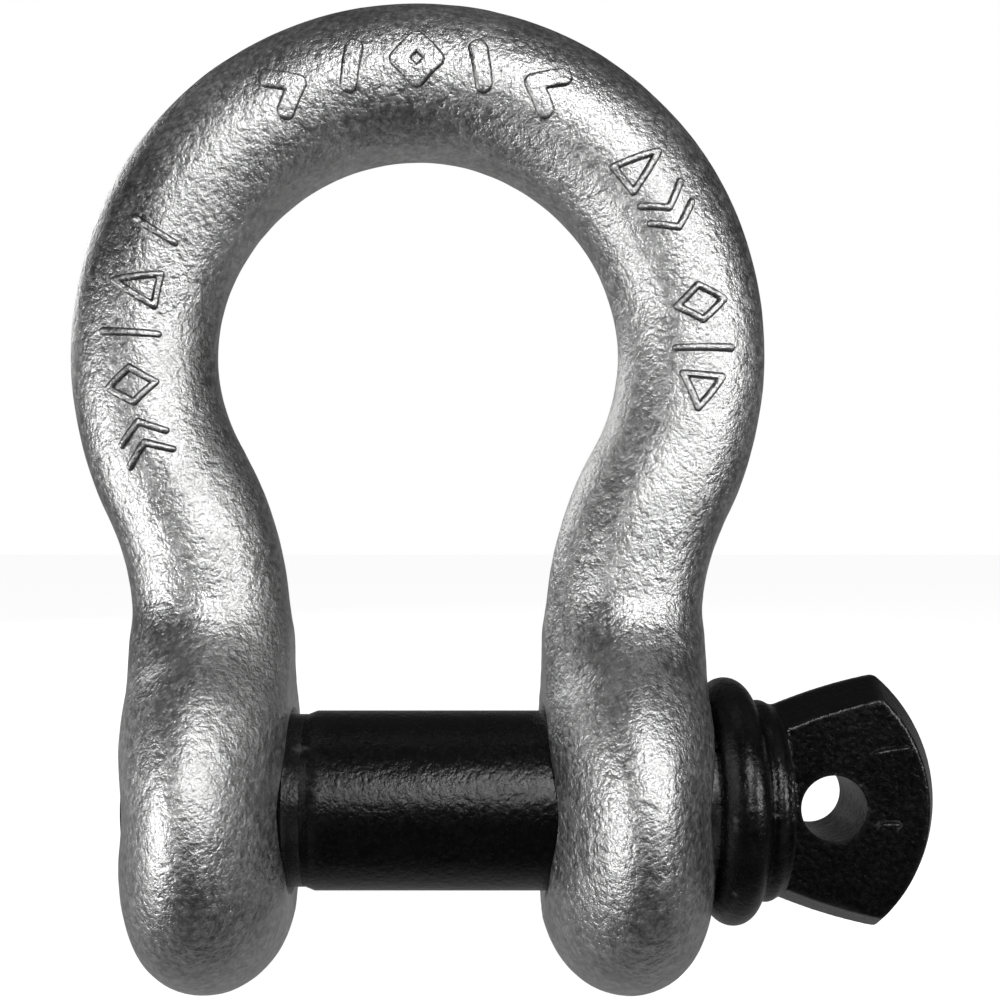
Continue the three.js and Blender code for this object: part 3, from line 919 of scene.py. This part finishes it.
groove = bake(threads, "tapped groove", {
    "Start": -EAR_OUT - PAST, "End": -EAR_IN + PAST, "Root radius": TAPPED_CREST / 2 - GROOVE_OVERLAP,
    "Crest radius": TAPPED_ROOT / 2, "Crest half width": GROOVE_FLOOR_HALF, "Chamfer": 0.0,
    "Fade length": GROOVE_FADE, "Points along": THREAD_ALONG, "Points around": THREAD_AROUND})
holes = [plain_hole(), tapped_hole(), groove]

# %% [markdown]
# ## Joining the bow
# The last recipe of the bow joins the marks to the skin and cuts the two holes.


# %% The finished bow
def carved_recipe():
    """Skin and marks as one solid, with both holes cut through it."""
    r = Recipe("finished bow")
    whole = r.combined("UNION", r.drawn(r.takes("Skin", "Object")), r.drawn(r.takes("Marks", "Object")))
    cutters = [r.drawn(r.takes(name, "Object")) for name in ("Plain hole", "Tapped bore", "Groove")]
    r.finish(r.combined("DIFFERENCE", whole, *cutters), r.takes("Material", "Material"))
    return r


bow_inputs = {"Skin": skin, "Marks": marks, "Material": zinc}
bow_inputs.update(zip(("Plain hole", "Tapped bore", "Groove"), holes))
bow_piece = bake(carved_recipe(), "forged_bow", bow_inputs, MM)
drop(skin, marks, *holes)

# %% [markdown]
# ## The screw pin
# On the bench the pin is one forging: a shank, a threaded end, a collar that beds on the
# ear, a low second ring and a flat eye plate that a spike can turn. The turned parts come
# from outlines and the thread from its recipe. The plate is a stack of outlines, widest at
# the parting line and leaning in towards both faces, as a forging has to.

# %% Sizes of the pin
PIN = 22.4
SHANK_SHORT = 1.8
SHANK_END = -(EAR_IN - SHANK_SHORT)
SHANK_CHAMFER = (1.3, 0.5)
RELIEF, RELIEF_LENGTH = 21.5, 2.1
THREAD_CREST, THREAD_ROOT = 22.1, 18.6
THREAD_CREST_HALF, THREAD_CHAMFER = 0.175, 1.0
JOIN = 1.0
STEP_IN = 0.1
COLLAR, COLLAR_THICK, COLLAR_ROUND = 30.9, 5.8, 3.2
SECOND_RING, SECOND_RING_THICK = 25.2, 2.6
NECK, NECK_LENGTH, NECK_FALL, NECK_BITE = 24.0, 0.4, 2.3, 0.5
EYE_THICK = 12.0
EYE_ROOT = 45.0
EYE_CORNER_OUT, EYE_CORNER_HALF = 57.7, 15.9
EYE_SIDE_CROWN = 0.35
EYE_ARC, EYE_ARC_OUT = 20.7, 44.5
EYE_DRAFT, EYE_LAND = 2.3, 1.2
EYE_HOLE, EYE_HOLE_OUT = 8.1, 51.2
COLLAR_FACE = EAR_OUT + GAP
print("pin shank runs from", SHANK_END, "to", EAR_OUT, "mm")


# %% Shank and thread
def shank():
    """The plain shank, with a chamfer and a relief where the thread begins."""
    radius = PIN / 2
    relief_from = SHANK_END - RELIEF_LENGTH
    return turned("shank", [
        (relief_from - JOIN, 0), (relief_from - JOIN, THREAD_ROOT / 2 - STEP_IN), (relief_from, RELIEF / 2),
        (SHANK_END, RELIEF / 2), (SHANK_END, radius - SHANK_CHAMFER[1]),
        (SHANK_END + SHANK_CHAMFER[0], radius), (COLLAR_FACE + JOIN, radius), (COLLAR_FACE + JOIN, 0)])


pin_thread = bake(threads, "pin thread", {
    "Start": -EAR_OUT, "End": SHANK_END - RELIEF_LENGTH - STEP_IN, "Root radius": THREAD_ROOT / 2,
    "Crest radius": THREAD_CREST / 2, "Crest half width": THREAD_CREST_HALF, "Chamfer": THREAD_CHAMFER,
    "Fade length": PITCH / 2, "Points along": THREAD_ALONG, "Points around": THREAD_AROUND})


# %% Collar, ring and neck
def head_turning():
    """The collar, the second ring and the neck, whose foot flows into the plate."""
    half, low = COLLAR_THICK / 2, SECOND_RING_THICK / 2
    collar_end = COLLAR_FACE + COLLAR_THICK
    neck_end = collar_end + SECOND_RING_THICK + NECK_LENGTH
    fall = (NECK - EYE_THICK) / 2 + NECK_BITE
    return turned("head turning", [
        (COLLAR_FACE, 0),
        *arc(COLLAR_FACE + half, COLLAR / 2 - COLLAR_ROUND, half, COLLAR_ROUND, 180, 10),
        *arc(collar_end + low, SECOND_RING / 2 - low, low, low, 145, 35),
        *arc(neck_end + NECK_FALL, NECK / 2, NECK_FALL, fall, 180, 270),
        (neck_end + NECK_FALL, 0)])


print(f"collar from {COLLAR_FACE:.1f} to {COLLAR_FACE + COLLAR_THICK:.1f} mm along the pin")


# %% Eye plate
def plate_half(x):
    """Half height of the plate along the pin, on its parting line."""
    share = (x - EYE_ROOT) / (EYE_CORNER_OUT - EYE_ROOT)
    return NECK / 2 + (EYE_CORNER_HALF - NECK / 2) * share + EYE_SIDE_CROWN * 4 * share * (1 - share)


def plate_corner(inset):
    """Where a side meets the outer arc, with both moved in by the inset."""
    near, far, halvings = EYE_ROOT, EYE_ARC_OUT + EYE_ARC, 36
    for _ in range(halvings):
        x = (near + far) / 2
        if math.hypot(x - EYE_ARC_OUT, plate_half(x) - inset) < EYE_ARC - inset:
            near = x
        else:
            far = x
    return near


def plate_outline(inset):
    """[x, z] points round the plate at one level, from the root over the arc and back."""
    side_steps, arc_steps = 12, 28
    corner, reach = plate_corner(inset), EYE_ARC - inset
    along = [EYE_ROOT + (corner - EYE_ROOT) * i / side_steps for i in range(side_steps)]
    upper = [(x, plate_half(x) - inset) for x in along]
    turn = math.atan2(plate_half(corner) - inset, corner - EYE_ARC_OUT)
    angles = [turn * (1 - 2 * i / arc_steps) for i in range(arc_steps + 1)]
    outer = [(EYE_ARC_OUT + reach * math.cos(angle), reach * math.sin(angle)) for angle in angles]
    return upper + outer + [(x, -z) for x, z in reversed(upper)]


def eye_plate():
    """A stack of four outlines through the plate, wider at the parting land than at the faces."""
    work = bmesh.new()
    face, land = EYE_THICK / 2, EYE_LAND / 2
    rings = []
    for y, inset in ((-face, EYE_DRAFT), (-land, 0), (land, 0), (face, EYE_DRAFT)):
        rings.append([work.verts.new((x, y, z)) for x, z in plate_outline(inset)])
    count = len(rings[0])
    for near, far in zip(rings, rings[1:]):
        for i in range(count):
            j = (i + 1) % count
            work.faces.new((near[i], near[j], far[j], far[i]))
    for ring in (rings[0], rings[-1]):
        work.faces.new(ring)
    return closed_mesh("eye plate", work)


print(f"the plate's corners lie {plate_corner(0):.1f} mm along the pin")


def eye_cutter():
    """A bar along Y that cuts the eye and eases its rim at both faces of the plate."""
    radius, face = EYE_HOLE / 2, EYE_THICK / 2
    mouth, past = 0.2, 0.3
    half = [(-face - past, 0), (-face - past, radius + mouth + past), (-face + mouth, radius)]
    cutter = turned("eye cutter", half + [(-x, reach) for x, reach in reversed(half)], sides=120)
    upright = Matrix.Rotation(math.radians(90), 4, "Z")
    cutter.data.transform(Matrix.Translation((EYE_HOLE_OUT, 0, 0)) @ upright)
    return cutter


# %% [markdown]
# The head is forged, so no edge on it is sharp. Joining the turned part and the plate
# leaves knife edges, so the joined head is rebuilt as an even skin of small squares and
# relaxed a little. The eye is cut after that and keeps a crisp rim, as a punched hole does.


# %% The head
HEAD_SKIN = 0.3
HEAD_RELAX, RELAX_SHARE = 5, 0.5
UPPER_RIDGE = ((55.6, 6.7), (60.4, 7.5), 0.5, 0.6)
LOWER_RIDGE = ((56.6, -2.0), (59.4, -1.9), 0.45, 0.5)


def joined_recipe():
    """The collar, ring, neck and plate as one solid."""
    r = Recipe("head blank")
    turning, plate = r.drawn(r.takes("Turning", "Object")), r.drawn(r.takes("Plate", "Object"))
    r.finish(r.combined("UNION", turning, plate))
    return r


def relaxed(piece, size, passes):
    """Rebuilds a piece as an even skin and relaxes it, which rounds its edges."""
    remesh = piece.modifiers.new("even skin", "REMESH")
    remesh.mode = "VOXEL"
    remesh.voxel_size = size
    ease = piece.modifiers.new("relax", "SMOOTH")
    ease.factor = RELAX_SHARE
    ease.iterations = passes
    mesh = bpy.data.meshes.new_from_object(piece.evaluated_get(bpy.context.evaluated_depsgraph_get()))
    piece.modifiers.clear()
    piece.data = mesh


def ridge(name, start, end, half_width, rise):
    """A small raised sliver on the plate's front face, from [x, z] to [x, z]."""
    work = bmesh.new()
    bmesh.ops.create_icosphere(work, subdivisions=4, radius=1)
    made = closed_mesh(name, work)
    middle = ((start[0] + end[0]) / 2, -EYE_THICK / 2, (start[1] + end[1]) / 2)
    run = Vector((end[0] - start[0], end[1] - start[1]))
    tilt = Matrix.Rotation(-math.atan2(run.y, run.x), 4, "Y")
    size = Matrix.Diagonal((run.length / 2, rise, half_width, 1))
    made.data.transform(Matrix.Translation(middle) @ tilt @ size)
    return made


turning, plate = head_turning(), eye_plate()
head = bake(joined_recipe(), "head", {"Turning": turning, "Plate": plate})
relaxed(head, HEAD_SKIN, HEAD_RELAX)
drop(turning, plate)
print("head:", len(head.data.polygons), "faces")


# %% The finished pin
def pin_recipe():
    """Shank, thread, head and slivers as one solid, with the eye cut through it."""
    r = Recipe("finished pin")
    names = ("Shank", "Thread", "Head", "Upper ridge", "Lower ridge")
    whole = r.combined("UNION", *[r.drawn(r.takes(name, "Object")) for name in names])
    eye = r.drawn(r.takes("Eye", "Object"))
    r.finish(r.combined("DIFFERENCE", whole, eye), r.takes("Material", "Material"))
    return r


pin_parts = {
    "Shank": shank(), "Thread": pin_thread, "Head": head,
    "Upper ridge": ridge("upper ridge", *UPPER_RIDGE),
    "Lower ridge": ridge("lower ridge", *LOWER_RIDGE),
    "Eye": eye_cutter()}
pin_piece = bake(pin_recipe(), "screw_pin_forging", {**pin_parts, "Material": black}, MM)
drop(*pin_parts.values())

# %% [markdown]
# ## Handing over
# Each forging rides on its CAD body and stands for the CAD nodes it covers. Faces that
# meet at less than the given angle shade smooth.

# %% Ride, replace, finish
SHARP_ANGLE = math.radians(40)

for piece in (bow_piece, pin_piece):
    piece.data.set_sharp_from_angle(angle=SHARP_ANGLE)
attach(bow_piece, "bow")
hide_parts("bow")
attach(pin_piece, "screw_pin")
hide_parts("pin_shank", "pin_thread", "pin_head")
